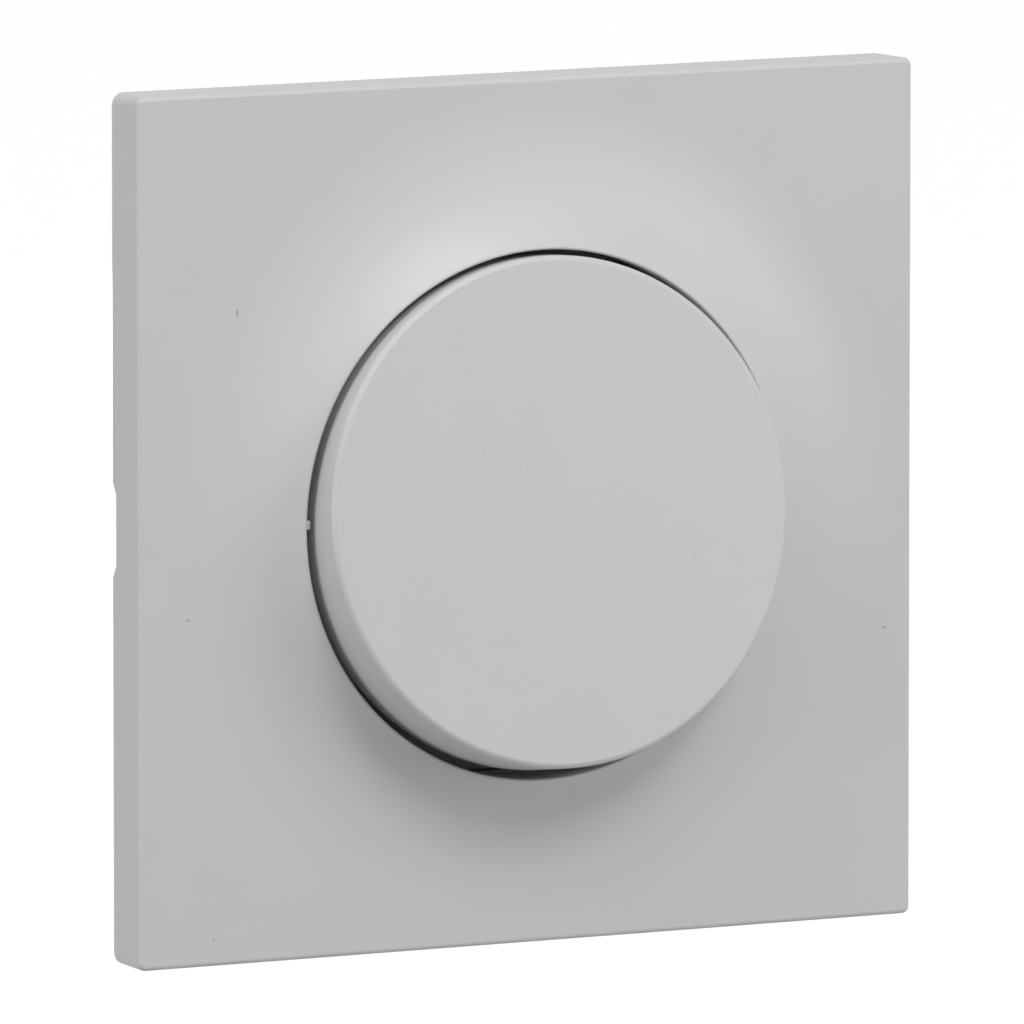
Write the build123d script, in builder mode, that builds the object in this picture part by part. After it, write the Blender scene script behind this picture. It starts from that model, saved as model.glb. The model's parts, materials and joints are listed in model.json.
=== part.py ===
from build123d import *
import math
import os

# Two-way light switch for a round wall box: a square cover plate with a round rocker in it,
# a support frame screwed to the box, and behind it the changeover mechanism with its
# push-in terminals.
#
# Millimetres. The wall's surface is the plane y = 0, the room is towards -Y and +Z is up.
# The origin is the middle of the switch on the wall. A height is measured from the wall
# into the room, and a depth from the wall into the box.

# Cover plate
plate_width = 80.0
plate_side_height = 5.4
plate_wall = 2.0
plate_corner_back = 1.15
plate_corner_front = 0.6
plate_corner_inside = 1.0
plate_edge_round = 0.45
swell_height = 3.35
swell_margin = 0.25
opening_clearance = 0.45
rim_round = 0.45
collar_wall = 1.6
collar_clearance = 0.6
pry_notch_length = 8.7
pry_notch_slant = 1.1
pry_notch_depth = 0.65
centring_rib_proud = 0.5
centring_rib_width = 0.85
plate_rib_thickness = 1.0
plate_rib_reach = 36.0
plate_rib_count = 8

# Snap hooks of the plate in the support frame
hook_place = 20.0
hook_width = 6.0
hook_thickness = 1.2
hook_inset = 2.6
hook_barb = 0.6
hook_bite = 0.4
hook_barb_land = 0.3
hook_tip_clearance = 0.3
hook_catch_clearance = 0.1
hook_side_clearance = 0.3

# Support frame
frame_gap = 2.5
frame_thickness = 2.4
frame_corner = 3.0
frame_edge = 0.3
box_screw_spacing = 60.0
box_slot_length = 7.0
box_slot_radius = 1.8
wall_screw_spacing = 54.0
wall_screw_radius = 2.1

# Switch housing
housing_width = 44.6
housing_depth = 21.0
housing_wall = 2.4
housing_corner_cut = 5.0
housing_rear_wall = 1.7
housing_fit = 0.2
flange_lip = 1.7
flange_thickness = 1.2
latch_width = 8.0
latch_proud = 0.9
latch_length = 1.5
latch_clearance = 0.1
cell_wall = 1.5
floor_wall = 1.6
core_half_width = 9.5
core_rib = 1.2

# Rocker, shown with its upper half pressed
rocker_tilt = 5.9
rocker_gap = 0.7
rocker_flare = 0.25
rocker_proud = 3.25
rocker_wall = 1.6
rocker_face = 1.8
rocker_edge_round = 0.55
skirt_clearance = 0.4
stiffener_thickness = 1.0
stiffener_height = 1.2

# Trunnions and their bearings
trunnion_radius = 1.5
trunnion_length = 3.0
trunnion_fit = 0.05
hub_step = 0.4
hub_half_length = 15.5
ear_wall = 1.05
ear_thickness = 2.4
ear_gap = 0.3

# Cradle and its clips on the rocker
cradle_half_length = 15.2
cradle_half_width = 7.0
cradle_thickness = 2.8
cradle_rim = 1.5
cradle_floor = 1.2
clip_place = 9.0
clip_width = 4.0
clip_thickness = 1.1
clip_clearance = 0.1
clip_bite = 0.5
clip_drop = 0.6

# Mechanism cover
cover_thickness = 0.9
cover_clearance = 0.95
cover_hub_clearance = 0.41
cover_lip = 1.0
cover_lip_depth = 1.5
window_clearance = 0.6
snap_place = 10.0
snap_width = 3.0
snap_thickness = 1.2
snap_reach = 6.5
snap_barb = 0.5
snap_barb_length = 1.2
snap_clearance = 0.15

# Plunger and spring
plunger_radius = 2.5
plunger_fit = 0.08
plunger_tip_radius = 1.6
plunger_guide = 2.5
plunger_land = 3.4
plunger_spigot_radius = 1.2
plunger_spigot_length = 2.0
plunger_gap = 0.1
tube_wall = 1.0
tube_end_depth = 3.0
spring_room = 6.9
spring_wire_radius = 0.25
spring_wall_gap = 0.28
spring_seat_gap = 0.05
spring_turns = 4
spring_wire_sides = 4

# Rocking contact and contact tips
pivot_depth = 8.3
blade_ratio = 1.2
blade_thickness = 0.8
blade_width = 6.0
blade_length = 22.0
blade_end_round = 1.5
contact_place = 9.5
tip_radius = 1.6
tip_height = 0.6
tip_bevel = 0.25
contact_gap = 0.1
knife_radius = 0.15
knife_half_angle = 30.0
groove_clearance = 0.05
well_clearance = 0.9
ring_wall = 1.3

# Terminals, clamp springs and release buttons
strip_thickness = 0.8
strip_width = 6.0
tongue_overhang = 0.4
clamp_width = 11.0
clamp_clearance = 0.2
chamber_side_gap = 0.5
leaf_thickness = 0.4
leaf_bend = 0.6
leaf_gap = 0.15
leaf_top_width = 1.2
leaf_foot_height = 0.3
leaf_bend_room = 2.1
leaf_tip_room = 1.4
wire_spacing = 8.6
wire_mouth_radius = 1.8
wire_throat_radius = 1.2
button_width = 3.2
button_breadth = 2.6
button_travel = 1.0
button_proud_pressed = 0.2
button_fit = 0.15
button_shoulder = 0.4
button_shoulder_length = 1.0
button_shoulder_clearance = 0.1
button_stem_width = 2.4
button_stem_breadth = 1.0
button_slot_width = 0.8
button_slot_depth = 0.4
button_gap = 0.3

# Plate, worked out
flange_width = housing_width + 2 * flange_lip
opening_radius = flange_width / 2 + opening_clearance
rim_height = plate_side_height + swell_height
foot_radius = plate_width / 2 - plate_edge_round - swell_margin
swell_run = foot_radius - opening_radius
swell_radius = (swell_run**2 + swell_height**2) / (2 * swell_height)
collar_radius = opening_radius + collar_wall
collar_back = frame_thickness + collar_clearance
cavity_width = plate_width - 2 * plate_wall
section_reach = plate_width
plate_rib_turn = 360 / plate_rib_count

# Frame and housing, worked out
frame_width = cavity_width - 2 * frame_gap
frame_window = housing_width + 2 * housing_fit
flange_back = frame_thickness - flange_thickness
hook_inner = frame_width / 2 - hook_inset
hook_ledge = hook_inner - hook_barb + hook_bite
hook_catch_height = frame_thickness / 2

# Trunnion axis and rocker, worked out
cover_front = frame_thickness + cover_thickness
hub_radius = trunnion_radius + hub_step
hinge_height = cover_front + hub_radius + cover_hub_clearance
face_height = rim_height + rocker_proud
skirt_radius = opening_radius - rocker_gap
face_radius = skirt_radius - rocker_flare
tilt = math.radians(rocker_tilt)
skirt_sink = skirt_radius * math.sin(tilt)
skirt_back = (frame_thickness + skirt_clearance - hinge_height + skirt_sink) / math.cos(tilt)
face_reach = face_height - hinge_height
face_back = face_reach - rocker_face
bearing_radius = trunnion_radius + trunnion_fit
ear_radius = bearing_radius + ear_wall
ear_inside = hub_half_length + ear_gap
cover_radius = skirt_radius - rocker_wall - cover_clearance

# Plunger, blade and contacts, worked out
bore_radius = plunger_radius + plunger_fit
tube_radius = bore_radius + tube_wall
shoulder_depth = tube_end_depth - plunger_guide
plunger_tip_depth = pivot_depth - blade_thickness - plunger_gap
blade_tilt = math.radians(blade_ratio * rocker_tilt)
tip_sweep = (contact_place + tip_radius) * math.sin(blade_tilt)
fixed_tip_depth = pivot_depth + tip_height + tip_sweep + contact_gap
strip_depth = fixed_tip_depth + tip_height
floor_depth = strip_depth + strip_thickness
knife_apex_depth = pivot_depth - knife_radius / math.sin(math.radians(knife_half_angle))
well_half = blade_length / 2 + well_clearance
ring_half = well_half + ring_wall

# Terminal chambers, worked out
inner_wall_depth = housing_depth - housing_rear_wall
chamber_end = housing_width / 2 - housing_wall
chamber_half_width = clamp_width / 2 + chamber_side_gap
clamp_face = ring_half + clamp_clearance + strip_thickness
clamp_end_depth = inner_wall_depth - strip_thickness
strip_bend = strip_thickness / 2 + clamp_clearance
leaf_bend_depth = inner_wall_depth - leaf_bend_room
leaf_outside = chamber_end - clamp_clearance - leaf_thickness / 2
leaf_inside = leaf_outside - leaf_top_width
leaf_tip = clamp_face + leaf_gap + leaf_thickness / 2
leaf_tip_depth = floor_depth + leaf_tip_room
button_proud = button_travel + button_proud_pressed
button_inner = clamp_face + button_gap + button_shoulder
button_place = button_inner + button_breadth / 2
wire_place = clamp_face + wire_throat_radius + leaf_gap
wire_narrowing = wire_mouth_radius - wire_throat_radius
wire_taper = math.degrees(math.atan(wire_narrowing / housing_rear_wall))
terminal_angles = {"upper": 90, "lower": 270, "common": 0}


def wall_plane(height):
    """Plane parallel to the wall: local x is +X, local y is +Z, and it faces the room."""
    return Plane.XZ.offset(height)


def spoke_plane(angle):
    """Plane through the middle of the switch, square to the wall: local x runs outwards at the
    angle, from +X towards +Z, and local y is the height."""
    turn = math.radians(angle)
    outwards = (math.cos(turn), 0, math.sin(turn))
    sideways = (math.sin(turn), 0, -math.cos(turn))
    return Plane(origin=(0, 0, 0), x_dir=outwards, z_dir=sideways)


def side_plane(place):
    """Upright plane square to X: local x is +Z and local y is the height."""
    return Plane(origin=(place, 0, 0), x_dir=(0, 0, 1), z_dir=(1, 0, 0))


def swell_surface(radius, inset):
    """Height of the plate's swelling face at a radius, or of a surface inset behind it."""
    drop = (swell_radius + inset) ** 2 - (foot_radius - radius) ** 2
    return plate_side_height + swell_radius - math.sqrt(drop)


# Tilted planes of the rocker, which turns about the trunnions, and of the blade
hinge_point = (0, -hinge_height, 0)
rocker_normal = (0, -math.cos(tilt), math.sin(tilt))
rocker_down = (0, -math.sin(tilt), -math.cos(tilt))
rocker_axis = Axis(hinge_point, rocker_normal)
rocker_frame = Plane(origin=hinge_point, x_dir=(1, 0, 0), z_dir=rocker_normal)
rocker_section = Plane(origin=hinge_point, x_dir=(1, 0, 0), z_dir=rocker_down)
pivot_point = (0, pivot_depth, 0)
blade_normal = (0, -math.cos(blade_tilt), -math.sin(blade_tilt))
blade_frame = Plane(origin=pivot_point, x_dir=(1, 0, 0), z_dir=blade_normal)
blade_frame_axis = Axis(pivot_point, blade_normal)


def rocker_side_plane(place):
    """Plane square to X that leans with the rocker: local x is along the rocker's face, upwards,
    and local y is the reach in front of the trunnion axis."""
    up = (0, math.sin(tilt), math.cos(tilt))
    return Plane(origin=(place, -hinge_height, 0), x_dir=up, z_dir=(1, 0, 0))


def reach_of(depth):
    """Reach in front of the trunnion axis of a depth, with the rocker level."""
    return -depth - hinge_height


# Room inside the cover plate
with BuildPart() as plate_cavity:
    with BuildSketch(wall_plane(0)):
        RectangleRounded(cavity_width, cavity_width, plate_corner_inside)
    extrude(amount=rim_height)
    with BuildSketch(spoke_plane(0)):
        with BuildLine():
            inner_foot = (foot_radius, plate_side_height - plate_wall)
            inner_top = (collar_radius, swell_surface(collar_radius, plate_wall))
            TangentArc(inner_foot, inner_top, tangent=(-1, 0))
            Polyline(
                inner_top,
                (collar_radius, collar_back),
                (0, collar_back),
                (0, 0),
                (section_reach, 0),
                (section_reach, plate_side_height - plate_wall),
                inner_foot,
            )
        make_face()
    revolve(axis=Axis.Y, mode=Mode.INTERSECT)

# Cover plate: a square with upright sides whose face swells up to a round rim
with BuildPart() as cover_plate:
    with BuildSketch(wall_plane(0)):
        RectangleRounded(plate_width, plate_width, plate_corner_back)
    with BuildSketch(wall_plane(plate_side_height)):
        RectangleRounded(plate_width, plate_width, plate_corner_front)
    loft()
    with BuildSketch(wall_plane(plate_side_height)):
        RectangleRounded(plate_width, plate_width, plate_corner_front)
    extrude(amount=swell_height)
    with BuildSketch(spoke_plane(0)):
        with BuildLine():
            foot = (foot_radius, plate_side_height)
            TangentArc(foot, (opening_radius, rim_height), tangent=(-1, 0))
            Polyline(
                (opening_radius, rim_height),
                (opening_radius, 0),
                (section_reach, 0),
                (section_reach, plate_side_height),
                foot,
            )
        make_face()
    revolve(axis=Axis.Y, mode=Mode.INTERSECT)
    flat_front = cover_plate.faces().filter_by(Axis.Y).sort_by(Axis.Y)[0]
    fillet(flat_front.outer_wire().edges(), plate_edge_round)
    rim_edge = cover_plate.edges().filter_by(GeomType.CIRCLE).group_by(Axis.Y)[0]
    fillet(rim_edge, rim_round)
    add(plate_cavity.part, mode=Mode.SUBTRACT)
    # Ribs between the collar and the plate's face
    for rib in range(plate_rib_count):
        with BuildSketch(spoke_plane(plate_rib_turn * (rib + 1 / 2))):
            with BuildLine():
                rib_root = (collar_radius - collar_wall / 2, collar_back)
                rib_top = swell_surface(rib_root[0], plate_wall / 2)
                rib_foot = (foot_radius, plate_side_height - plate_wall / 2)
                TangentArc(rib_foot, (rib_root[0], rib_top), tangent=(-1, 0))
                Polyline(
                    (rib_root[0], rib_top),
                    rib_root,
                    (plate_rib_reach, collar_back),
                    rib_foot,
                )
            make_face()
        extrude(amount=plate_rib_thickness / 2, both=True)
    # Snap hooks above and below the mechanism
    barb_top = hook_catch_height - hook_catch_clearance
    for place in (-hook_place, hook_place):
        for side in (-1, 1):
            with BuildSketch(side_plane(place)):
                with BuildLine():
                    hook_points = [
                        (hook_inner, plate_side_height - plate_wall / 2),
                        (hook_inner + hook_thickness, plate_side_height - plate_wall / 2),
                        (hook_inner + hook_thickness, hook_tip_clearance),
                        (hook_inner, hook_tip_clearance),
                        (hook_inner - hook_barb, barb_top - hook_barb_land),
                        (hook_inner - hook_barb, barb_top),
                        (hook_inner, barb_top),
                    ]
                    Polyline([(side * z, height) for z, height in hook_points], close=True)
                make_face()
            extrude(amount=hook_width / 2, both=True)
    # Centring ribs at the sides of the opening
    rib_thickness = centring_rib_proud + collar_wall / 2
    rib_middle = opening_radius - centring_rib_proud + rib_thickness / 2
    with BuildSketch(wall_plane(collar_back)):
        with Locations((-rib_middle, centring_rib_width / 2), (rib_middle, centring_rib_width / 2)):
            Rectangle(rib_thickness, centring_rib_width)
    extrude(amount=rim_height - rim_round - collar_back)
    # Pry notches in the rear edge of both sides
    with BuildSketch(side_plane(0)):
        with BuildLine():
            Polyline(
                (-pry_notch_length / 2, 0),
                (pry_notch_length / 2, 0),
                (pry_notch_length / 2 - pry_notch_slant, pry_notch_depth),
                (-pry_notch_length / 2 + pry_notch_slant, pry_notch_depth),
                close=True,
            )
        make_face()
    extrude(amount=plate_width / 2, both=True, mode=Mode.SUBTRACT)

# Support frame
with BuildPart() as support_frame:
    with BuildSketch(wall_plane(0)):
        RectangleRounded(frame_width, frame_width, frame_corner)
        Rectangle(frame_window, frame_window, mode=Mode.SUBTRACT)
        slot_place = box_screw_spacing / 2
        with Locations((-slot_place, 0), (slot_place, 0)):
            SlotOverall(box_slot_length, 2 * box_slot_radius, mode=Mode.SUBTRACT)
        with Locations((0, -slot_place), (0, slot_place)):
            SlotOverall(box_slot_length, 2 * box_slot_radius, rotation=90, mode=Mode.SUBTRACT)
        with GridLocations(wall_screw_spacing, wall_screw_spacing, 2, 2):
            Circle(wall_screw_radius, mode=Mode.SUBTRACT)
    extrude(amount=frame_thickness)
    chamfer(support_frame.faces().sort_by(Axis.Y)[0].outer_wire().edges(), frame_edge)
    with BuildSketch(wall_plane(frame_thickness)):
        Rectangle(flange_width + 2 * housing_fit, flange_width + 2 * housing_fit)
    extrude(amount=-flange_thickness, mode=Mode.SUBTRACT)
    # Pockets for the plate's hooks: a ledge in front and room for the barb behind it
    pocket_width = hook_width + 2 * hook_side_clearance
    ledge_depth = frame_width / 2 - hook_ledge
    barb_room = hook_inner - hook_barb - hook_side_clearance
    barb_depth = frame_width / 2 - barb_room
    for side in (-1, 1):
        ledge_middle = side * (hook_ledge + ledge_depth / 2)
        barb_middle = side * (barb_room + barb_depth / 2)
        with BuildSketch(wall_plane(0)):
            with Locations((-hook_place, ledge_middle), (hook_place, ledge_middle)):
                Rectangle(pocket_width, ledge_depth)
        extrude(amount=frame_thickness, mode=Mode.SUBTRACT)
        with BuildSketch(wall_plane(0)):
            with Locations((-hook_place, barb_middle), (hook_place, barb_middle)):
                Rectangle(pocket_width, barb_depth)
        extrude(amount=hook_catch_height, mode=Mode.SUBTRACT)


# Switch housing: round inner room with a square well, the terminal chambers and open cells
with BuildPart() as switch_housing:
    with BuildSketch(wall_plane(flange_back)):
        Rectangle(housing_width, housing_width)
        chamfer(vertices(), housing_corner_cut)
    extrude(amount=-flange_back - housing_depth)
    rear_edges = switch_housing.faces().sort_by(Axis.Y)[-1].edges()
    chamfer(rear_edges, housing_rear_wall / 2)
    with BuildSketch(wall_plane(flange_back)):
        Rectangle(flange_width, flange_width)
    extrude(amount=flange_thickness)
    # Latches behind the support frame, ramped towards the box
    for angle in (0, 90, 180, 270):
        with BuildSketch(spoke_plane(angle)):
            with BuildLine():
                Polyline(
                    (housing_width / 2 - housing_wall / 2, -latch_clearance),
                    (housing_width / 2 + latch_proud, -latch_clearance),
                    (housing_width / 2 - housing_wall / 2, -latch_clearance - 2 * latch_length),
                    close=True,
                )
            make_face()
        extrude(amount=latch_width / 2, both=True)
    # Cells open to the front: round room, less the well's walls and the chambers' side walls
    with BuildSketch(wall_plane(frame_thickness)):
        Circle(cover_radius - cover_lip)
        Rectangle(2 * ring_half, 2 * ring_half, mode=Mode.SUBTRACT)
        wall_place = chamber_half_width + cell_wall / 2
        with GridLocations(2 * wall_place, 2 * chamber_end, 2, 2):
            Rectangle(cell_wall, chamber_end, mode=Mode.SUBTRACT)
        with GridLocations(2 * chamber_end, 2 * wall_place, 2, 2):
            Rectangle(chamber_end, cell_wall, mode=Mode.SUBTRACT)
        for angle in (0, 90, 180, 270):
            with PolarLocations((ring_half + chamber_end) / 2, 1, angle):
                Rectangle(chamber_end - ring_half, 2 * chamber_half_width)
    extrude(amount=-frame_thickness - inner_wall_depth, mode=Mode.SUBTRACT)
    with BuildSketch(wall_plane(frame_thickness)):
        Rectangle(2 * well_half, 2 * well_half)
        strip_slot = strip_width + 2 * clamp_clearance
        for angle in terminal_angles.values():
            with PolarLocations(ring_half / 2, 1, angle):
                Rectangle(ring_half + 2 * clamp_clearance, strip_slot)
    extrude(amount=-frame_thickness - floor_depth, mode=Mode.SUBTRACT)
    # Core behind the well's floor, with crossed ribs
    with BuildSketch(wall_plane(-housing_depth)):
        Rectangle(2 * core_half_width, 2 * core_half_width)
        Rectangle(2 * core_half_width, core_rib, mode=Mode.SUBTRACT)
        Rectangle(core_rib, 2 * core_half_width, mode=Mode.SUBTRACT)
    extrude(amount=housing_depth - floor_depth - floor_wall, mode=Mode.SUBTRACT)
    # Wire entries narrow from the mouth to the throat, and the buttons' slots lie between them
    with BuildSketch(wall_plane(-housing_depth)):
        for angle in terminal_angles.values():
            with PolarLocations(0, 1, angle):
                with Locations((wire_place, -wire_spacing / 2), (wire_place, wire_spacing / 2)):
                    Circle(wire_mouth_radius)
    extrude(amount=housing_rear_wall, taper=wire_taper, mode=Mode.SUBTRACT)
    with BuildSketch(wall_plane(-housing_depth)):
        for angle in terminal_angles.values():
            with PolarLocations(button_place, 1, angle):
                Rectangle(button_breadth + 2 * button_fit, button_width + 2 * button_fit)
    extrude(amount=housing_rear_wall, mode=Mode.SUBTRACT)
    # Notches in the well's wall that catch the cover's snaps
    catch_depth = snap_reach - snap_barb_length - snap_clearance - frame_thickness
    with BuildSketch(wall_plane(-catch_depth)):
        with GridLocations(2 * snap_place, 2 * ring_half, 2, 2):
            Rectangle(snap_width + 2 * snap_clearance, 2 * (snap_barb + snap_clearance))
    extrude(amount=-snap_barb_length - 2 * snap_clearance, mode=Mode.SUBTRACT)

# Mechanism cover: round plate with a lip in the well, four snaps and two bearing ears
with BuildPart() as housing_cover:
    with BuildSketch(wall_plane(frame_thickness)):
        Circle(cover_radius)
    extrude(amount=cover_thickness)
    lip_half = well_half - snap_clearance
    with BuildSketch(wall_plane(frame_thickness)):
        Rectangle(2 * lip_half, 2 * lip_half)
        Rectangle(2 * (lip_half - cover_lip), 2 * (lip_half - cover_lip), mode=Mode.SUBTRACT)
    extrude(amount=-cover_lip_depth)
    window_half_width = tube_radius + window_clearance
    window_sway = (hinge_height - frame_thickness) * math.tan(tilt)
    with BuildSketch(wall_plane(cover_front)):
        RectangleRounded(
            2 * window_half_width,
            2 * (window_half_width + window_sway),
            window_half_width / 2,
        )
    extrude(amount=-cover_thickness, mode=Mode.SUBTRACT)
    for side in (-1, 1):
        with BuildSketch(side_plane(side * ear_inside)):
            with Locations((0, hinge_height)):
                Circle(ear_radius)
            with Locations((0, (hinge_height + frame_thickness) / 2)):
                Rectangle(2 * ear_radius, hinge_height - frame_thickness)
            with Locations((0, hinge_height)):
                Circle(bearing_radius, mode=Mode.SUBTRACT)
        extrude(amount=side * ear_thickness)
    snap_inner = ring_half + snap_clearance
    for place in (-snap_place, snap_place):
        for side in (-1, 1):
            with BuildSketch(side_plane(place)):
                with BuildLine():
                    snap_points = [
                        (snap_inner, frame_thickness),
                        (snap_inner + snap_thickness, frame_thickness),
                        (snap_inner + snap_thickness, frame_thickness - snap_reach),
                        (snap_inner, frame_thickness - snap_reach),
                        (snap_inner - snap_barb, frame_thickness - snap_reach + snap_barb_length / 2),
                        (snap_inner - snap_barb, frame_thickness - snap_reach + snap_barb_length),
                        (snap_inner, frame_thickness - snap_reach + snap_barb_length),
                    ]
                    Polyline([(side * z, height) for z, height in snap_points], close=True)
                make_face()
            extrude(amount=snap_width / 2, both=True)

# Rocker button: round shell with a flat face, tilted about the trunnions
with BuildPart() as rocker_button:
    with BuildSketch(rocker_section):
        with BuildLine():
            Polyline(
                (0, face_reach),
                (face_radius, face_reach),
                (skirt_radius, skirt_back),
                (skirt_radius - rocker_wall, skirt_back),
                (face_radius - rocker_wall, face_back),
                (0, face_back),
                close=True,
            )
        make_face()
    revolve(axis=rocker_axis)
    face_edge = rocker_button.edges().filter_by(GeomType.CIRCLE).group_by(rocker_axis)[-1]
    fillet(face_edge, rocker_edge_round)
    # Pads that rest on the cradle's rim, and stiffeners from there to the skirt
    pad_reach = face_back - cradle_thickness
    pad_place = cradle_half_width - cradle_rim / 2
    stiffener_start = cradle_half_width
    stiffener_end = face_radius - rocker_wall / 2
    with BuildSketch(rocker_frame.offset(cradle_thickness)):
        with Locations((0, -pad_place), (0, pad_place)):
            Rectangle(2 * (clip_place - clip_width), cradle_rim)
    extrude(amount=pad_reach + rocker_face / 2)
    with BuildSketch(rocker_frame.offset(face_back - stiffener_height)):
        with PolarLocations((stiffener_start + stiffener_end) / 2, 4, 45):
            Rectangle(stiffener_end - stiffener_start, stiffener_thickness)
    extrude(amount=stiffener_height + rocker_face / 2)
    # Clips that grip the cradle from behind
    clip_inner = cradle_half_width + clip_clearance
    for place in (-clip_place, clip_place):
        for side in (-1, 1):
            with BuildSketch(rocker_side_plane(place)):
                with BuildLine():
                    clip_points = [
                        (clip_inner, face_back + rocker_face / 2),
                        (clip_inner + clip_thickness, face_back + rocker_face / 2),
                        (clip_inner + clip_thickness, -clip_drop),
                        (clip_inner, -clip_drop),
                        (clip_inner - clip_bite, -clip_drop / 2),
                        (clip_inner - clip_bite, -clip_clearance / 2),
                        (clip_inner, -clip_clearance / 2),
                    ]
                    Polyline([(side * up, reach) for up, reach in clip_points], close=True)
                make_face()
            extrude(amount=clip_width / 2, both=True)

# Rocker cradle: channel with a hub and trunnions across it and the plunger's tube behind
with BuildPart() as rocker_cradle:
    with BuildSketch(rocker_frame):
        RectangleRounded(2 * cradle_half_length, 2 * cradle_half_width, cradle_rim / 2)
    extrude(amount=cradle_thickness)
    with BuildSketch(rocker_frame.offset(cradle_floor)):
        Rectangle(
            2 * (cradle_half_length - cradle_rim),
            2 * (cradle_half_width - cradle_rim),
        )
        Rectangle(cradle_floor, 2 * cradle_half_width, mode=Mode.SUBTRACT)
    extrude(amount=cradle_thickness - cradle_floor, mode=Mode.SUBTRACT)
    with BuildSketch(Plane.YZ):
        with Locations((-hinge_height, 0)):
            Circle(hub_radius)
    extrude(amount=hub_half_length, both=True)
    with BuildSketch(Plane.YZ):
        with Locations((-hinge_height, 0)):
            Circle(trunnion_radius)
    extrude(amount=hub_half_length + trunnion_length, both=True)
    with BuildSketch(rocker_frame.offset(cradle_thickness)):
        Circle(tube_radius)
    extrude(amount=reach_of(tube_end_depth) - cradle_thickness)
    with BuildSketch(rocker_frame.offset(reach_of(tube_end_depth))):
        Circle(bore_radius)
    extrude(amount=spring_room + plunger_guide, mode=Mode.SUBTRACT)

# Plunger: land in the tube, neck, round tip on the blade and spigot in the spring
with BuildPart() as plunger:
    shoulder = reach_of(shoulder_depth)
    tip_end = reach_of(plunger_tip_depth)
    with BuildSketch(rocker_section):
        with BuildLine():
            Polyline(
                (0, tip_end),
                (0, shoulder + plunger_spigot_length),
                (plunger_spigot_radius, shoulder + plunger_spigot_length),
                (plunger_spigot_radius, shoulder),
                (plunger_radius, shoulder),
                (plunger_radius, shoulder - plunger_land),
                (plunger_tip_radius, shoulder - plunger_land - plunger_tip_radius / 2),
                (plunger_tip_radius, tip_end + plunger_tip_radius),
            )
            RadiusArc(
                (plunger_tip_radius, tip_end + plunger_tip_radius),
                (0, tip_end),
                plunger_tip_radius,
            )
        make_face()
    revolve(axis=rocker_axis)

# Spring between the tube's closed end and the plunger's shoulder
coil_radius = bore_radius - spring_wall_gap - spring_wire_radius
coil_length = spring_room - 2 * (spring_wire_radius + spring_seat_gap)
coil_start = rocker_frame.offset(
    reach_of(shoulder_depth) + spring_wire_radius + spring_seat_gap
)
with BuildPart() as plunger_spring:
    with BuildLine() as coil:
        Helix(
            coil_length / spring_turns,
            coil_length,
            coil_radius,
            center=coil_start.origin,
            direction=rocker_normal,
        )
    with BuildSketch(Plane(origin=coil.line @ 0, z_dir=coil.line % 0)):
        RegularPolygon(spring_wire_radius, spring_wire_sides)
    sweep(path=coil.line, is_frenet=True)

# Rocking contact: blade that tilts on the common terminal's knife edge
with BuildPart() as rocking_contact:
    with BuildSketch(blade_frame):
        RectangleRounded(blade_width, blade_length, blade_end_round)
    extrude(amount=blade_thickness)
    with BuildSketch(Plane(origin=pivot_point, x_dir=blade_frame.y_dir, z_dir=(1, 0, 0))):
        Circle(knife_radius + groove_clearance)
    extrude(amount=blade_width, both=True, mode=Mode.SUBTRACT)

with BuildPart() as moving_contact_tips:
    with BuildSketch(blade_frame):
        with Locations((0, -contact_place), (0, contact_place)):
            Circle(tip_radius)
    extrude(amount=-tip_height)
    tip_edges = moving_contact_tips.edges().filter_by(GeomType.CIRCLE).group_by(blade_frame_axis)[0]
    chamfer(tip_edges, tip_bevel)


def strip_terminal(angle, inner_end, has_knife=False):
    """Bent strip: flat on the well's floor, then along the chamber's inner wall as clamp plate.
    The common one carries the knife edge that the blade tilts on."""
    strip_middle = -strip_depth - strip_thickness / 2
    clamp_middle = clamp_face - strip_thickness / 2
    with BuildPart() as terminal:
        with BuildSketch(spoke_plane(angle)):
            with BuildLine():
                FilletPolyline(
                    (inner_end, strip_middle),
                    (clamp_middle, strip_middle),
                    (clamp_middle, -clamp_end_depth),
                    radius=strip_bend,
                )
            trace(line_width=strip_thickness)
        extrude(amount=strip_width / 2, both=True)
        with BuildSketch(spoke_plane(angle)):
            with Locations((clamp_middle, -(floor_depth + clamp_end_depth + strip_bend) / 2)):
                Rectangle(strip_thickness, clamp_end_depth - floor_depth - strip_bend)
        extrude(amount=clamp_width / 2, both=True)
        if has_knife:
            knife_rise = strip_depth - knife_apex_depth
            knife_foot = knife_rise * math.tan(math.radians(knife_half_angle))
            with BuildSketch(side_plane(0)):
                with BuildLine():
                    Polyline(
                        (-knife_foot, -strip_depth),
                        (knife_foot, -strip_depth),
                        (0, -knife_apex_depth),
                        close=True,
                    )
                make_face()
                fillet(vertices().sort_by(Axis.Y)[-1], knife_radius)
            extrude(amount=strip_width / 2, both=True)
    return terminal


def clamp_spring(angle):
    """Folded leaf: a foot along the chamber's outer wall, a flat top and a slanting clamp leg."""
    with BuildPart() as spring:
        with BuildSketch(spoke_plane(angle)):
            with BuildLine():
                FilletPolyline(
                    (leaf_outside, -floor_depth + leaf_foot_height),
                    (leaf_outside, -leaf_bend_depth),
                    (leaf_inside, -leaf_bend_depth),
                    (leaf_tip, -leaf_tip_depth),
                    radius=leaf_bend,
                )
            trace(line_width=leaf_thickness)
        extrude(amount=clamp_width / 2, both=True)
    return spring


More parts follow.
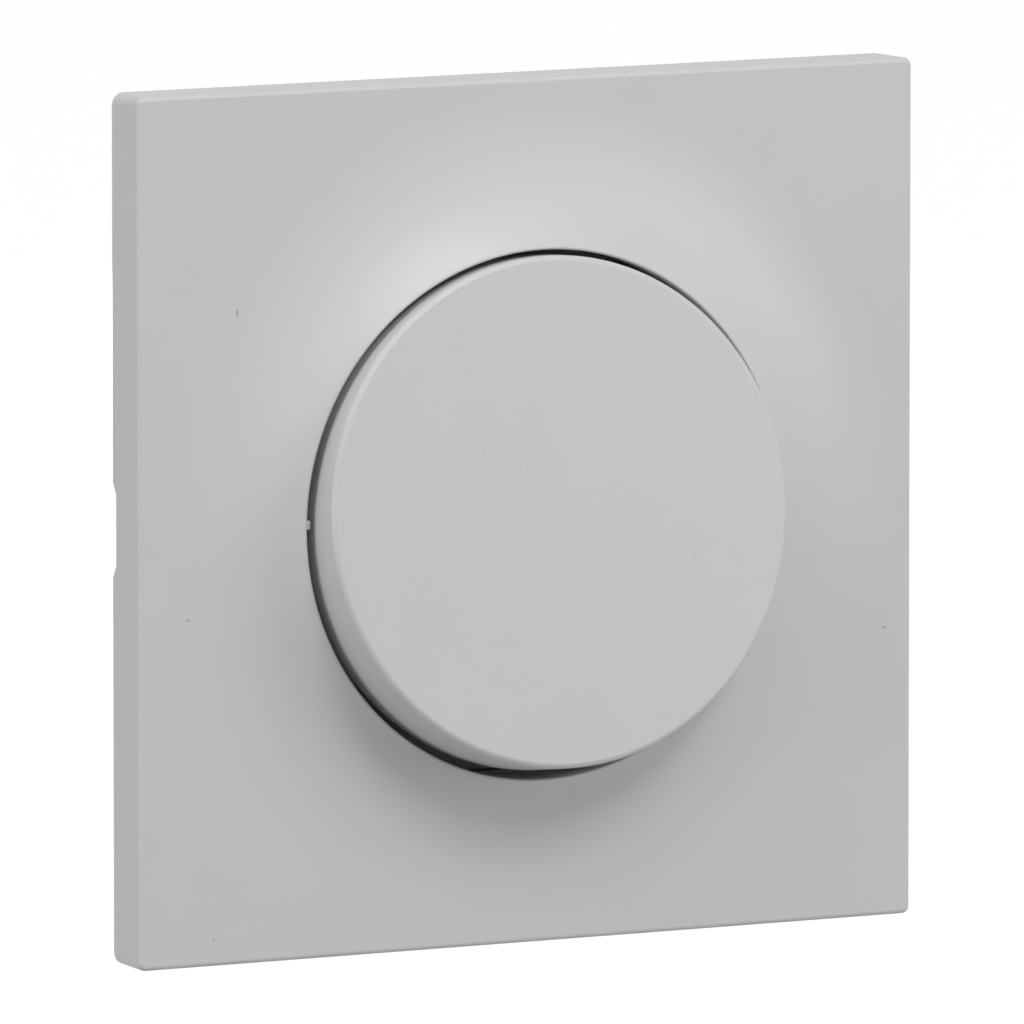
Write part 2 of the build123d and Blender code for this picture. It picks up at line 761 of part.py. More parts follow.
def release_button(angle):
    """Button in the rear wall whose stem pushes the clamp leg off the wire."""
    leg_slope = (leaf_bend_depth - leaf_tip_depth) / (leaf_inside - leaf_tip)
    stem_outer = button_inner + button_stem_breadth
    leg_depth = leaf_bend_depth - (leaf_inside - stem_outer) * leg_slope
    leaf_rise = leaf_thickness / 2 * math.hypot(1, leg_slope)
    stem_end_depth = leg_depth + leaf_rise + button_gap
    shoulder_depth = inner_wall_depth - button_shoulder_clearance
    with BuildPart() as button:
        with BuildSketch(wall_plane(-housing_depth - button_proud)):
            with PolarLocations(button_place, 1, angle):
                Rectangle(button_breadth, button_width)
        extrude(amount=button_proud + housing_rear_wall + button_shoulder_clearance)
        with BuildSketch(wall_plane(-shoulder_depth)):
            with PolarLocations(button_place, 1, angle):
                Rectangle(button_breadth + 2 * button_shoulder, button_width + 2 * button_shoulder)
        extrude(amount=button_shoulder_length)
        with BuildSketch(wall_plane(-shoulder_depth + button_shoulder_length)):
            with PolarLocations(button_inner + button_stem_breadth / 2, 1, angle):
                Rectangle(button_stem_breadth, button_stem_width)
        extrude(amount=shoulder_depth - button_shoulder_length - stem_end_depth)
        with BuildSketch(wall_plane(-housing_depth - button_proud)):
            with PolarLocations(button_place, 1, angle):
                Rectangle(button_slot_width, button_width)
        extrude(amount=button_slot_depth, mode=Mode.SUBTRACT)
    return button


def fixed_contact_tip(angle):
    """Contact tip riveted on a terminal's tongue."""
    with BuildPart() as tip:
        with BuildSketch(wall_plane(-strip_depth)):
            with PolarLocations(contact_place, 1, angle):
                Circle(tip_radius)
        extrude(amount=tip_height)
        chamfer(tip.edges().filter_by(GeomType.CIRCLE).group_by(Axis.Y)[0], tip_bevel)
    return tip


pieces = {
    "cover_plate": cover_plate,
    "support_frame": support_frame,
    "switch_housing": switch_housing,
    "housing_cover": housing_cover,
    "rocker_button": rocker_button,
    "rocker_cradle": rocker_cradle,
    "plunger": plunger,
    "plunger_spring": plunger_spring,
    "rocking_contact": rocking_contact,
    "moving_contact_tips": moving_contact_tips,
}

tongue_end = contact_place - tip_radius - tongue_overhang
for position, angle in terminal_angles.items():
    if position == "common":
        terminal = strip_terminal(angle, -strip_width / 2, has_knife=True)
    else:
        terminal = strip_terminal(angle, tongue_end)
        pieces[position + "_contact_tip"] = fixed_contact_tip(angle)
    pieces[position + "_terminal"] = terminal
    pieces[position + "_clamp_spring"] = clamp_spring(angle)
    pieces[position + "_release_button"] = release_button(angle)

os.makedirs("parts", exist_ok=True)
for label, piece in pieces.items():
    piece.part.label = label
    export_step(piece.part, f"parts/{label}.step")
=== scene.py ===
"""Looks of a two-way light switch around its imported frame: smooth white cover plate and
rocker, the moulded parts behind them with softened edges, and the metal of the terminals."""
import math

import bmesh
import bpy
from mathutils import Matrix, Vector
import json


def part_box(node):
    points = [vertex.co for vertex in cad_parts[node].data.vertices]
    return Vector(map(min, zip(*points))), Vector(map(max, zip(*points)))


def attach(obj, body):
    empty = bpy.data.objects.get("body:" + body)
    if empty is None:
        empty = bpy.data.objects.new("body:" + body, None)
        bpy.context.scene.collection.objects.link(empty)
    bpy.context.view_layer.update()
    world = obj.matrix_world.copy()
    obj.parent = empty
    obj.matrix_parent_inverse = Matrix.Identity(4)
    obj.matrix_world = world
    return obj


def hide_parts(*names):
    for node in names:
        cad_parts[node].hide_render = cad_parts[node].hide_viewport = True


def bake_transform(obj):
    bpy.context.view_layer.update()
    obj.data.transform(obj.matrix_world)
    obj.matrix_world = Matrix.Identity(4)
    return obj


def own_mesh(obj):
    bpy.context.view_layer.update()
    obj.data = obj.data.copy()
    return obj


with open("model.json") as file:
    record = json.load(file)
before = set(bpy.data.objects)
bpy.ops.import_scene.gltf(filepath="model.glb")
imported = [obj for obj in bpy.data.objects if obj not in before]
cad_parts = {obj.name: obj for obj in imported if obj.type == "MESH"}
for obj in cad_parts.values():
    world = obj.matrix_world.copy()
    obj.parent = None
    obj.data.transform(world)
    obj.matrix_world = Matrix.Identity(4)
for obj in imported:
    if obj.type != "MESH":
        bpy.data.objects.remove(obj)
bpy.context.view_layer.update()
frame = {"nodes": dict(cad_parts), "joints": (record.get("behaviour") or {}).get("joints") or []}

MM = 0.001

# Cover plate, as heights in front of the wall and distances from the plate's middle
PLATE_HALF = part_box("cover_plate")[1].x
SIDE_HEIGHT = 5.4 * MM
SWELL_HEIGHT = 3.35 * MM
SWELL_POWER = 2.5
OPENING_RADIUS = 24.45 * MM
PLATE_WALL = 2.0 * MM
COLLAR_WALL = 1.6 * MM
COLLAR_BACK = 3.0 * MM
CORNER_FRONT = 0.7 * MM
CORNER_BACK = 1.15 * MM
CORNER_INSIDE = 1.0 * MM
EDGE_ROUND = 0.45 * MM
RIM_ROUND = 0.2 * MM
SWELL_MARGIN = 0.25 * MM
REAR_EDGE_ROUND = 0.12 * MM
NOTCH_HALF = 4.35 * MM
NOTCH_SLANT = 1.1 * MM
NOTCH_DEPTH = 0.65 * MM
RIB_COUNT = 8
RIB_THICKNESS = 1.0 * MM
RIB_REACH = 36.0 * MM
CENTRING_RIB_PROUD = 0.5 * MM
CENTRING_RIB_WIDTH = 0.85 * MM
RIB_DROP = 0.45 * MM

# Snap hooks behind the plate, placed from the support frame's edge
HOOK_PLACE = 20.0 * MM
HOOK_INSET = 2.6 * MM
HOOK_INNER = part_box("support_frame")[1].z - HOOK_INSET
HOOK_WIDTH = 6.0 * MM
HOOK_THICKNESS = 1.2 * MM
HOOK_BARB = 0.6 * MM
HOOK_BARB_LAND = 0.3 * MM
HOOK_BARB_TOP = 1.1 * MM
HOOK_TIP = 0.3 * MM

# Rocker, level with the wall before it is tilted about the trunnions
HINGE = next(j for j in frame["joints"] if j["name"] == "rocker_tilt")
HINGE_HEIGHT = -HINGE["pos_m"][1]
REST_TILT = math.radians(HINGE["range_deg"][1] / 2)
FACE_HEIGHT = 12.0 * MM
FACE_RADIUS = 23.5 * MM
SKIRT_RADIUS = 23.75 * MM
SKIRT_BACK = 5.24 * MM
ROCKER_WALL = 1.6 * MM
ROCKER_FACE = 1.8 * MM
ROCKER_ROUND = 0.55 * MM
CRADLE_HALF_WIDTH = 7.0 * MM
CRADLE_THICKNESS = 2.8 * MM
PAD_LENGTH = 10.0 * MM
PAD_WIDTH = 1.5 * MM
STIFFENER_THICKNESS = 1.0 * MM
STIFFENER_HEIGHT = 1.2 * MM
CLIP_PLACE = 9.0 * MM
CLIP_WIDTH = 4.0 * MM
CLIP_THICKNESS = 1.1 * MM
CLIP_CLEARANCE = 0.1 * MM
CLIP_BITE = 0.5 * MM
CLIP_DROP = 0.6 * MM

# Plunger spring in its tube, level with the rocker, and the clamp leaves of the terminals
COIL_BACK = -0.2 * MM
COIL_LENGTH = 6.3 * MM
COIL_RADIUS = 2.05 * MM
COIL_TURNS = 4
COIL_STEPS = 24
WIRE_RADIUS = 0.25 * MM
WIRE_SIDES = 10
TUBE_END = 6.4 * MM
SPRING_ROOM = 6.9 * MM
LEAF_BEND = 18.2 * MM
LEAF_PRESSED = 15.9 * MM
LEAF_CUTS = 8

# Roundings of the moulded and bent edges behind the plate
FRAME_ROUND = 0.25 * MM
HOUSING_ROUND = 0.2 * MM
SMALL_ROUND = 0.12 * MM
LEAF_ROUND = 0.06 * MM
ROUND_SEGMENTS = 2

# Steps round a full turn: a quarter has straight steps on both sides of its corner's steps
SPIN_STEPS = 240
QUARTER = SPIN_STEPS // 4
CORNER_STEPS = 8
STRAIGHT_STEPS = (QUARTER - CORNER_STEPS) // 2
NOTCH_STEPS = 3
ARC_STEPS = 6
SWELL_STEPS = 28
HALVINGS = 40
FARTHEST_SHARE = 1.5

# Limits for merging, flat faces, rounded edges and smooth shading
SPIN_MERGE = 0.0005 * MM
COPY_MERGE = 0.001 * MM
LEVEL_LIMIT = 0.0001 * MM
FLAT_ANGLE = math.radians(0.5)
ROUND_ANGLE = math.radians(40)
SMOOTH_ANGLE = math.radians(35)

# Shades of a finish as shares of its colour, from the dark to the light places, and its depths
CLOUD_SHADES = (0.985, 1.015)
FLOW_SHADES = (0.93, 1.05)
TARNISH_SHADES = (0.72, 1.05)
MARK_SHADE = 0.25
SATIN_GRAIN = 0.0016 * MM
FRAME_GRAIN = 0.02 * MM
HOUSING_GRAIN = 0.01 * MM
FINE_GRAIN = 0.006 * MM
PLUNGER_GRAIN = 0.004 * MM
DRAWN_LINES = 0.003 * MM

# Small marks on the faces: place and reach along each axis in millimetres, and strength
MARK_CORE = 0.6
PLATE_MARKS = (
    ((-30.0, -6.6, 19.9), (0.14, 2.0, 0.55), 0.75),
    ((37.2, -5.4, -13.0), (0.3, 2.0, 0.12), 0.55),
    ((-35.1, -5.5, -8.0), (0.22, 2.0, 0.2), 0.4),
    ((-32.5, -5.6, -37.5), (0.16, 2.0, 0.16), 0.35),
)
ROCKER_MARKS = (
    ((-7.8, -11.0, 6.4), (0.14, 3.0, 0.14), 0.3),
    ((-3.3, -11.5, 4.6), (0.12, 3.0, 0.12), 0.3),
    ((13.5, -12.5, -4.0), (0.13, 3.0, 0.13), 0.3),
    ((3.4, -13.0, -17.0), (0.12, 3.0, 0.12), 0.3),
)

# Camera, backdrop and lamps, each lamp with its name, place, size and watts
CAMERA_TURN = math.radians(-27.561)
CAMERA_RISE = math.radians(7.1)
CAMERA_DISTANCE = 1685.7 * MM
CAMERA_LENS = 645.67
SENSOR_WIDTH = 36.0
CAMERA_REACH = 50.0
CAMERA_SIDESTEP = -1.58 * MM
CAMERA_DROP = -0.07 * MM
WORLD_LEVEL = 0.23
FLOOR_LEVEL = -120 * MM
FLOOR_HALF = 2.0
FLOOR_COLOR = (0.4, 0.4, 0.4)
FLOOR_GLOW = 1.2
FLOOR_GLOW_SHARE = 0.8
LAMPS = (
    ("lamp_above", (0.0, -0.15, 1.1), 0.5, 1.2),
    ("lamp_high_front", (0.1, -0.8, 0.75), 0.3, 5.2),
    ("lamp_high_left", (-0.7, -0.15, 0.85), 0.5, 3.2),
    ("lamp_front_right", (0.8, -0.8, 0.2), 0.4, 3.6),
    ("lamp_low_left", (-1.1, -0.15, 0.0), 0.2, 3.1),
    ("lamp_behind", (0.45, 1.2, -0.03), 0.16, 5.0),
)


class Value:
    """One socket of a material's nodes, for use in Python expressions."""

    def __init__(self, finish, socket):
        self.finish = finish
        self.socket = socket

    def __add__(self, other):
        return self.finish.calc("ADD", self, other)

    def __radd__(self, other):
        return self.finish.calc("ADD", other, self)

    def __mul__(self, other):
        return self.finish.calc("MULTIPLY", self, other)

    def __rmul__(self, other):
        return self.finish.calc("MULTIPLY", other, self)


class Finish:
    """One material, built node by node on its Principled shader."""

    def __init__(self, name, color, roughness, constants=None):
        self.material = bpy.data.materials.new(name)
        self.material.use_nodes = True
        self.nodes = self.material.node_tree.nodes
        self.links = self.material.node_tree.links
        self.shader = self.nodes["Principled BSDF"]
        self.set_input(self.shader, "Base Color", (*color, 1.0))
        self.set_input(self.shader, "Roughness", roughness)
        for socket, value in (constants or {}).items():
            self.set_input(self.shader, socket, value)
        self.place = self.node("ShaderNodeTexCoord", output="Object")

    def set_input(self, node, socket, value):
        if isinstance(value, Value):
            self.links.new(value.socket, node.inputs[socket])
        else:
            node.inputs[socket].default_value = value

    def node(self, kind, settings=None, inputs=None, output=0):
        """A node of a type, with its settings, its sockets' values and the output to use."""
        made = self.nodes.new(kind)
        for setting, value in (settings or {}).items():
            setattr(made, setting, value)
        for socket, value in (inputs or {}).items():
            self.set_input(made, socket, value)
        return Value(self, made.outputs[output])

    def calc(self, operation, first, second):
        return self.node("ShaderNodeMath", {"operation": operation}, {0: first, 1: second})

    def noise(self, scale, detail=2.0, stretch=(1, 1, 1)):
        """Noise of a number of waves to the millimetre, drawn out along some axes."""
        stretched = self.node(
            "ShaderNodeMapping",
            inputs={"Vector": self.place, "Scale": tuple(1 / (MM * s) for s in stretch)},
        )
        values = {"Vector": stretched, "Scale": scale, "Detail": detail}
        return self.node("ShaderNodeTexNoise", inputs=values, output="Fac")

    def fade(self, value, low, high, start, end):
        """Smooth step from start to end, as a value goes from its low to its high limit."""
        settings = {"interpolation_type": "SMOOTHSTEP"}
        inputs = {"Value": value, 1: low, 2: high, 3: start, 4: end}
        return self.node("ShaderNodeMapRange", settings, inputs)

    def mixed(self, factor, first, second):
        """Colour between two colours."""
        inputs = {0: factor, 6: first, 7: second}
        return self.node("ShaderNodeMix", {"data_type": "RGBA"}, inputs, output=2)

    def spot(self, place, reach):
        """Mask of an oval mark around a place, with its reach along each axis."""
        offset = self.node(
            "ShaderNodeVectorMath", {"operation": "SUBTRACT"}, {0: self.place, 1: place}
        )
        scaled = self.node(
            "ShaderNodeVectorMath", {"operation": "DIVIDE"}, {0: offset, 1: reach}
        )
        far = self.node("ShaderNodeVectorMath", {"operation": "LENGTH"}, {0: scaled}, "Value")
        return self.fade(far, low=MARK_CORE, high=1.0, start=1.0, end=0.0)

    def color(self, value):
        self.set_input(self.shader, "Base Color", value)

    def roughness(self, value):
        self.set_input(self.shader, "Roughness", value)

    def bump(self, height, depth):
        """Bump of a height from 0 to 1 that stands for a depth."""
        inputs = {"Height": height, "Distance": depth, "Strength": 1.0}
        self.set_input(self.shader, "Normal", self.node("ShaderNodeBump", inputs=inputs))


def shades(color, factors):
    """A colour made lighter or darker by each factor, with its alpha."""
    return [(*(channel * factor for channel in color), 1.0) for factor in factors]


def moulded_white(name, color, marks):
    """Satin white moulding: faint clouding, a fine grain and a few small marks."""
    finish = Finish(name, color, 0.42, {"Specular IOR Level": 0.45})
    clouds = finish.noise(scale=0.12, detail=3.0)
    base = finish.mixed(clouds, *shades(color, CLOUD_SHADES))
    for place, reach, strength in marks:
        mask = finish.spot(place, reach) * strength
        base = finish.mixed(mask, base, *shades(color, [MARK_SHADE]))
    finish.color(base)
    grain = finish.noise(scale=5.0)
    finish.roughness(0.40 + 0.06 * finish.noise(scale=0.8) + 0.03 * grain)
    finish.bump(grain, depth=SATIN_GRAIN)
    return finish.material


def moulded_matt(name, color, grain_depth):
    """Matt engineering plastic with spark eroded grain and slight flow marks."""
    finish = Finish(name, color, 0.6, {"Specular IOR Level": 0.4})
    flow = finish.noise(scale=0.25, detail=4.0, stretch=(3, 1, 1))
    finish.color(finish.mixed(flow, *shades(color, FLOW_SHADES)))
    grain = finish.noise(scale=4.0, detail=3.0)
    finish.roughness(0.52 + 0.16 * grain)
    finish.bump(grain, depth=grain_depth)
    return finish.material


def rolled_metal(name, color, roughness, stretch):
    """Rolled strip: fine drawn lines along one direction and a slight tarnish."""
    finish = Finish(name, color, roughness, {"Metallic": 1.0})
    lines = finish.noise(scale=6.0, stretch=stretch)
    tarnish = finish.noise(scale=0.35, detail=4.0)
    finish.color(finish.mixed(tarnish, *shades(color, TARNISH_SHADES)))
    finish.roughness(roughness - 0.06 + 0.12 * lines + 0.08 * tarnish)
    finish.bump(lines, depth=DRAWN_LINES)
    return finish.material


def arc_points(centre, radius, start, end, steps):
    """Points of an arc in the section plane of radius and height, in degrees."""
    points = []
    for step in range(steps + 1):
        angle = math.radians(start + (end - start) * step / steps)
        across = centre[0] + radius * math.cos(angle)
        height = centre[1] + radius * math.sin(angle)
        points.append((across, height))
    return points


def spun_section(points):
    """Bmesh spun from a section of (radius, height) points round the axis square to the wall."""
    bm = bmesh.new()
    verts = [bm.verts.new((radius, -height, 0)) for radius, height in points]
    edges = [bm.edges.new(pair) for pair in zip(verts, verts[1:])]
    bmesh.ops.spin(
        bm,
        geom=verts + edges,
        cent=(0, 0, 0),
        axis=(0, -1, 0),
        angle=2 * math.pi,
        steps=SPIN_STEPS,
        use_merge=True,
        use_duplicate=False,
    )
    bmesh.ops.remove_doubles(bm, verts=bm.verts, dist=SPIN_MERGE)
    return bm


def round_edges(bm, edges, width):
    """Rounds edges of a bmesh."""
    bmesh.ops.bevel(
        bm,
        geom=edges,
        offset=width,
        affect="EDGES",
        segments=ROUND_SEGMENTS,
        profile=0.5,
        material=-1,
    )


def slab(bm, outline, middle, across, breadth):
    """Adds a closed slab with rounded edges to a bmesh: an outline of (distance across, height)
    points, made as broad as told about a middle on the wall."""
    across = Vector(across).normalized()
    out = Vector((0, -1, 0))
    sideways = across.cross(out)
    part = bmesh.new()
    start = Vector(middle) - sideways * breadth / 2
    verts = [part.verts.new(start + across * place + out * height) for place, height in outline]
    made = bmesh.ops.extrude_face_region(part, geom=[part.faces.new(verts)])["geom"]
    moved = [v for v in made if isinstance(v, bmesh.types.BMVert)]
    bmesh.ops.translate(part, verts=moved, vec=sideways * breadth)
    bmesh.ops.recalc_face_normals(part, faces=part.faces)
    round_edges(part, part.edges[:], SMALL_ROUND)
    shape = bpy.data.meshes.new("slab")
    part.to_mesh(shape)
    part.free()
    bm.from_mesh(shape)
    bpy.data.meshes.remove(shape)


def smooth_object(name, bm, material):
    """Makes a bmesh an object at the origin, shaded smooth."""
    mesh = bpy.data.meshes.new(name)
    bm.to_mesh(mesh)
    bm.free()
    for face in mesh.polygons:
        face.use_smooth = True
    mesh.materials.append(material)
    piece = bpy.data.objects.new(name, mesh)
    bpy.context.scene.collection.objects.link(piece)
    return piece


def finished_piece(name, bm, material, body, slot, *nodes):
    """Makes a bmesh an object, sharp above an angle, that rides a body in place of CAD nodes."""
    bmesh.ops.recalc_face_normals(bm, faces=bm.faces)
    piece = smooth_object(name, bm, material)
    piece.data.set_sharp_from_angle(angle=SMOOTH_ANGLE)
    weighted = piece.modifiers.new("even_shading", "WEIGHTED_NORMAL")
    weighted.keep_sharp = True
    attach(piece, body)
    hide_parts(*nodes)
    return piece


def square_place(step, half, corner, height):
    """Place of a loop's step on a square with round corners, counted from +X towards +Z."""
    quarter, along = divmod(step % SPIN_STEPS, QUARTER)
    straight = half - corner
    if along <= STRAIGHT_STEPS:
        place = Vector((half, straight * along / STRAIGHT_STEPS))
    elif along < STRAIGHT_STEPS + CORNER_STEPS:
        turn = math.radians(90 * (along - STRAIGHT_STEPS) / CORNER_STEPS)
        place = Vector((straight, straight)) + corner * Vector((math.cos(turn), math.sin(turn)))
    else:
        place = Vector((straight * (QUARTER - along) / STRAIGHT_STEPS, half))
    place.rotate(Matrix.Rotation(math.radians(90 * quarter), 2))
    return Vector((place.x, -height, place.y))


def notch_steps(step):
    """Steps from the middle of the nearer side wall, or None on the walls above and below."""
    turned = step % (SPIN_STEPS // 2)
    away = min(turned, SPIN_STEPS // 2 - turned)
    return away if away <= STRAIGHT_STEPS else None


def cut_notches(steps):
    """Raises a rear loop between the pry notches' slanted ends on both side walls."""
    for vert, step in steps.items():
        away = notch_steps(step)
        if away is None or away > NOTCH_STEPS:
            continue
        half = NOTCH_HALF if away == NOTCH_STEPS else NOTCH_HALF - NOTCH_SLANT
        if away >= NOTCH_STEPS - 1:
            vert.co.z = math.copysign(half, vert.co.z)
        if away < NOTCH_STEPS:
            vert.co.y = -NOTCH_DEPTH


def step_of(vert):
    """Step round the turn of a vertex that still lies on its spoke."""
    turn = math.atan2(vert.co.z, vert.co.x) / (2 * math.pi)
    return round(turn * SPIN_STEPS) % SPIN_STEPS


def circle_edges(bm, height):
    """Open edges of the bmesh on the plane at a height."""
    return [
        e
        for e in bm.edges
        if e.is_boundary and all(abs(v.co.y + height) < LEVEL_LIMIT for v in e.verts)
    ]


def grow_to_square(bm, edges, steps, half, corner, height):
    """Extrudes a loop of edges and lays the new loop on a square; returns its edges and steps."""
    made = bmesh.ops.extrude_edge_only(bm, edges=edges)["geom"]
    new_edges = [e for e in made if isinstance(e, bmesh.types.BMEdge)]
    new_verts = [v for v in made if isinstance(v, bmesh.types.BMVert)]
    new_steps = {}
    for vert in new_verts:
        neighbours = [e.other_vert(vert) for e in vert.link_edges]
        new_steps[vert] = next(steps[other] for other in neighbours if other in steps)
    for vert, step in new_steps.items():
        vert.co = square_place(step, half, corner, height)
    return [e for e in new_edges if all(v in new_steps for v in e.verts)], new_steps


def swell_place(foot, share, inset):
    """Point a share of the way from the swell's foot to its rim, or inset behind that point."""
    run = foot - OPENING_RADIUS
    slope = SWELL_POWER * SWELL_HEIGHT / run * share ** (SWELL_POWER - 1)
    back = inset / math.hypot(1, slope)
    height = SIDE_HEIGHT + SWELL_HEIGHT * share**SWELL_POWER
    return foot - run * share - slope * back, height - back


def share_at(foot, inset, radius):
    """Share of the way at which the swelling face, or a surface inset behind it, meets a
    radius."""
    low, high = 0.0, FARTHEST_SHARE
    for _ in range(HALVINGS):
        middle = (low + high) / 2
        if swell_place(foot, middle, inset)[0] > radius:
            low = middle
        else:
            high = middle
    return low


def swell_points(foot, inset, inner_radius, steps):
    """Points of the plate's swelling face, or of a surface inset behind it, from the foot in."""
    end = share_at(foot, inset, inner_radius)
    return [swell_place(foot, end * step / steps, inset) for step in range(steps + 1)]


def cover_plate():
    """Square shell whose face swells to a round rim, with its collar, notches and hooks."""
    foot = PLATE_HALF - EDGE_ROUND - SWELL_MARGIN
    rim_centre_radius = OPENING_RADIUS + RIM_ROUND
    rim_share = share_at(foot, RIM_ROUND, rim_centre_radius)
    rim_start = swell_place(foot, rim_share, 0)
    rim_centre = swell_place(foot, rim_share, RIM_ROUND)
    outer = swell_points(foot, 0, rim_start[0], SWELL_STEPS)
    rim_rise = math.atan2(rim_start[1] - rim_centre[1], rim_start[0] - rim_centre[0])
    rim = arc_points(rim_centre, RIM_ROUND, math.degrees(rim_rise), 180, ARC_STEPS)
    collar_radius = OPENING_RADIUS + COLLAR_WALL
    inner = swell_points(foot, PLATE_WALL, collar_radius, SWELL_STEPS // 2)
    collar = [(OPENING_RADIUS, COLLAR_BACK), (collar_radius, COLLAR_BACK)]
    bm = spun_section(outer + rim[1:] + collar + inner[::-1])
    ceiling_height = SIDE_HEIGHT - PLATE_WALL
    edges = circle_edges(bm, SIDE_HEIGHT)
    ceiling = circle_edges(bm, ceiling_height)
    steps = {v: step_of(v) for e in edges for v in e.verts}
    for step in range(ARC_STEPS + 1):
        turn = math.radians(90 * step / ARC_STEPS)
        inset = EDGE_ROUND * (1 - math.sin(turn))
        height = SIDE_HEIGHT - EDGE_ROUND * (1 - math.cos(turn))
        half, corner = PLATE_HALF - inset, CORNER_FRONT - inset
        edges, steps = grow_to_square(bm, edges, steps, half, corner, height)
    edges, steps = grow_to_square(bm, edges, steps, PLATE_HALF, CORNER_BACK, 0)
    cut_notches(steps)
    rear_outline = list(edges)
    inside = PLATE_HALF - PLATE_WALL
    edges, steps = grow_to_square(bm, edges, steps, inside, CORNER_INSIDE, 0)
    cut_notches(steps)
    edges, _ = grow_to_square(bm, edges, steps, inside, CORNER_INSIDE, ceiling_height)
    bmesh.ops.bridge_loops(bm, edges=edges + ceiling)
    round_edges(bm, rear_outline, REAR_EDGE_ROUND)
    plate_ribs(bm, foot)
    plate_hooks(bm)
    return bm


def plate_ribs(bm, foot):
    """Ribs between the collar and the plate's face, and the centring ribs in the opening."""
    root = OPENING_RADIUS + COLLAR_WALL / 2
    top = swell_points(foot, PLATE_WALL / 2, root, ARC_STEPS)
    web = [*top, (root, COLLAR_BACK), (RIB_REACH, COLLAR_BACK)]
    for rib in range(RIB_COUNT):
        turn = 2 * math.pi * (rib + 1 / 2) / RIB_COUNT
        slab(bm, web, (0, 0, 0), (math.cos(turn), 0, math.sin(turn)), RIB_THICKNESS)
    inner = OPENING_RADIUS - CENTRING_RIB_PROUD
    rib_top = SIDE_HEIGHT + SWELL_HEIGHT - RIB_DROP
    outline = [(inner, COLLAR_BACK), (root, COLLAR_BACK), (root, rib_top), (inner, rib_top)]
    middle = (0, 0, CENTRING_RIB_WIDTH / 2)
    for side in (-1, 1):
        slab(bm, outline, middle, (side, 0, 0), CENTRING_RIB_WIDTH)


def plate_hooks(bm):
    """Four snap hooks above and below the mechanism, with their barbs towards the middle."""
    root = SIDE_HEIGHT - PLATE_WALL / 2
    outline = [
        (HOOK_INNER, root),
        (HOOK_INNER + HOOK_THICKNESS, root),
        (HOOK_INNER + HOOK_THICKNESS, HOOK_TIP),
        (HOOK_INNER, HOOK_TIP),
        (HOOK_INNER - HOOK_BARB, HOOK_BARB_TOP - HOOK_BARB_LAND),
        (HOOK_INNER - HOOK_BARB, HOOK_BARB_TOP),
        (HOOK_INNER, HOOK_BARB_TOP),
    ]
    for place in (-HOOK_PLACE, HOOK_PLACE):
        for side in (-1, 1):
            slab(bm, outline, (place, 0, 0), (0, 0, side), HOOK_WIDTH)


def tilted(bm):
    """Turns what was made level with the wall to the rocker's place at rest."""
    turn = Matrix.Rotation(-REST_TILT, 3, "X")
    bmesh.ops.rotate(bm, cent=(0, -HINGE_HEIGHT, 0), matrix=turn, verts=bm.verts)
    return bm


def plunger_coil():
    """Compression spring of round wire with a closed turn at each end, tilted with the rocker."""
    bm = bmesh.new()
    wire = bmesh.ops.create_circle(
        bm,
        cap_ends=True,
        segments=WIRE_SIDES,
        radius=WIRE_RADIUS,
        matrix=Matrix.Translation((COIL_RADIUS, -COIL_BACK, 0)),
    )
    ring = wire["verts"] + list({e for v in wire["verts"] for e in v.link_edges})
    closed = 2 * WIRE_RADIUS
    pitch = (COIL_LENGTH - 2 * closed) / COIL_TURNS
    for turns, rise in ((1, closed), (COIL_TURNS, pitch), (1, closed)):
        made = bmesh.ops.spin(
            bm,
            geom=ring,
            cent=(0, 0, 0),
            axis=(0, -1, 0),
            dvec=(0, -rise / COIL_STEPS, 0),
            angle=2 * math.pi * turns,
            steps=COIL_STEPS * turns,
        )
        ring = made["geom_last"]
    bmesh.ops.holes_fill(bm, edges=[e for e in bm.edges if e.is_boundary])
    return tilted(bm)


def rocker_button():
    """Round shell with a flat face, spun level and then tilted about the trunnions."""
    corner_centre = (FACE_RADIUS - ROCKER_ROUND, FACE_HEIGHT - ROCKER_ROUND)
    section = [(0, FACE_HEIGHT)]
    section += arc_points(corner_centre, ROCKER_ROUND, 90, 1, ARC_STEPS)
    section += [
        (SKIRT_RADIUS, SKIRT_BACK),
        (SKIRT_RADIUS - ROCKER_WALL, SKIRT_BACK),
        (FACE_RADIUS - ROCKER_WALL, FACE_HEIGHT - ROCKER_FACE),
        (0, FACE_HEIGHT - ROCKER_FACE),
    ]
    bm = spun_section(section)
    rocker_inside(bm)
    return tilted(bm)


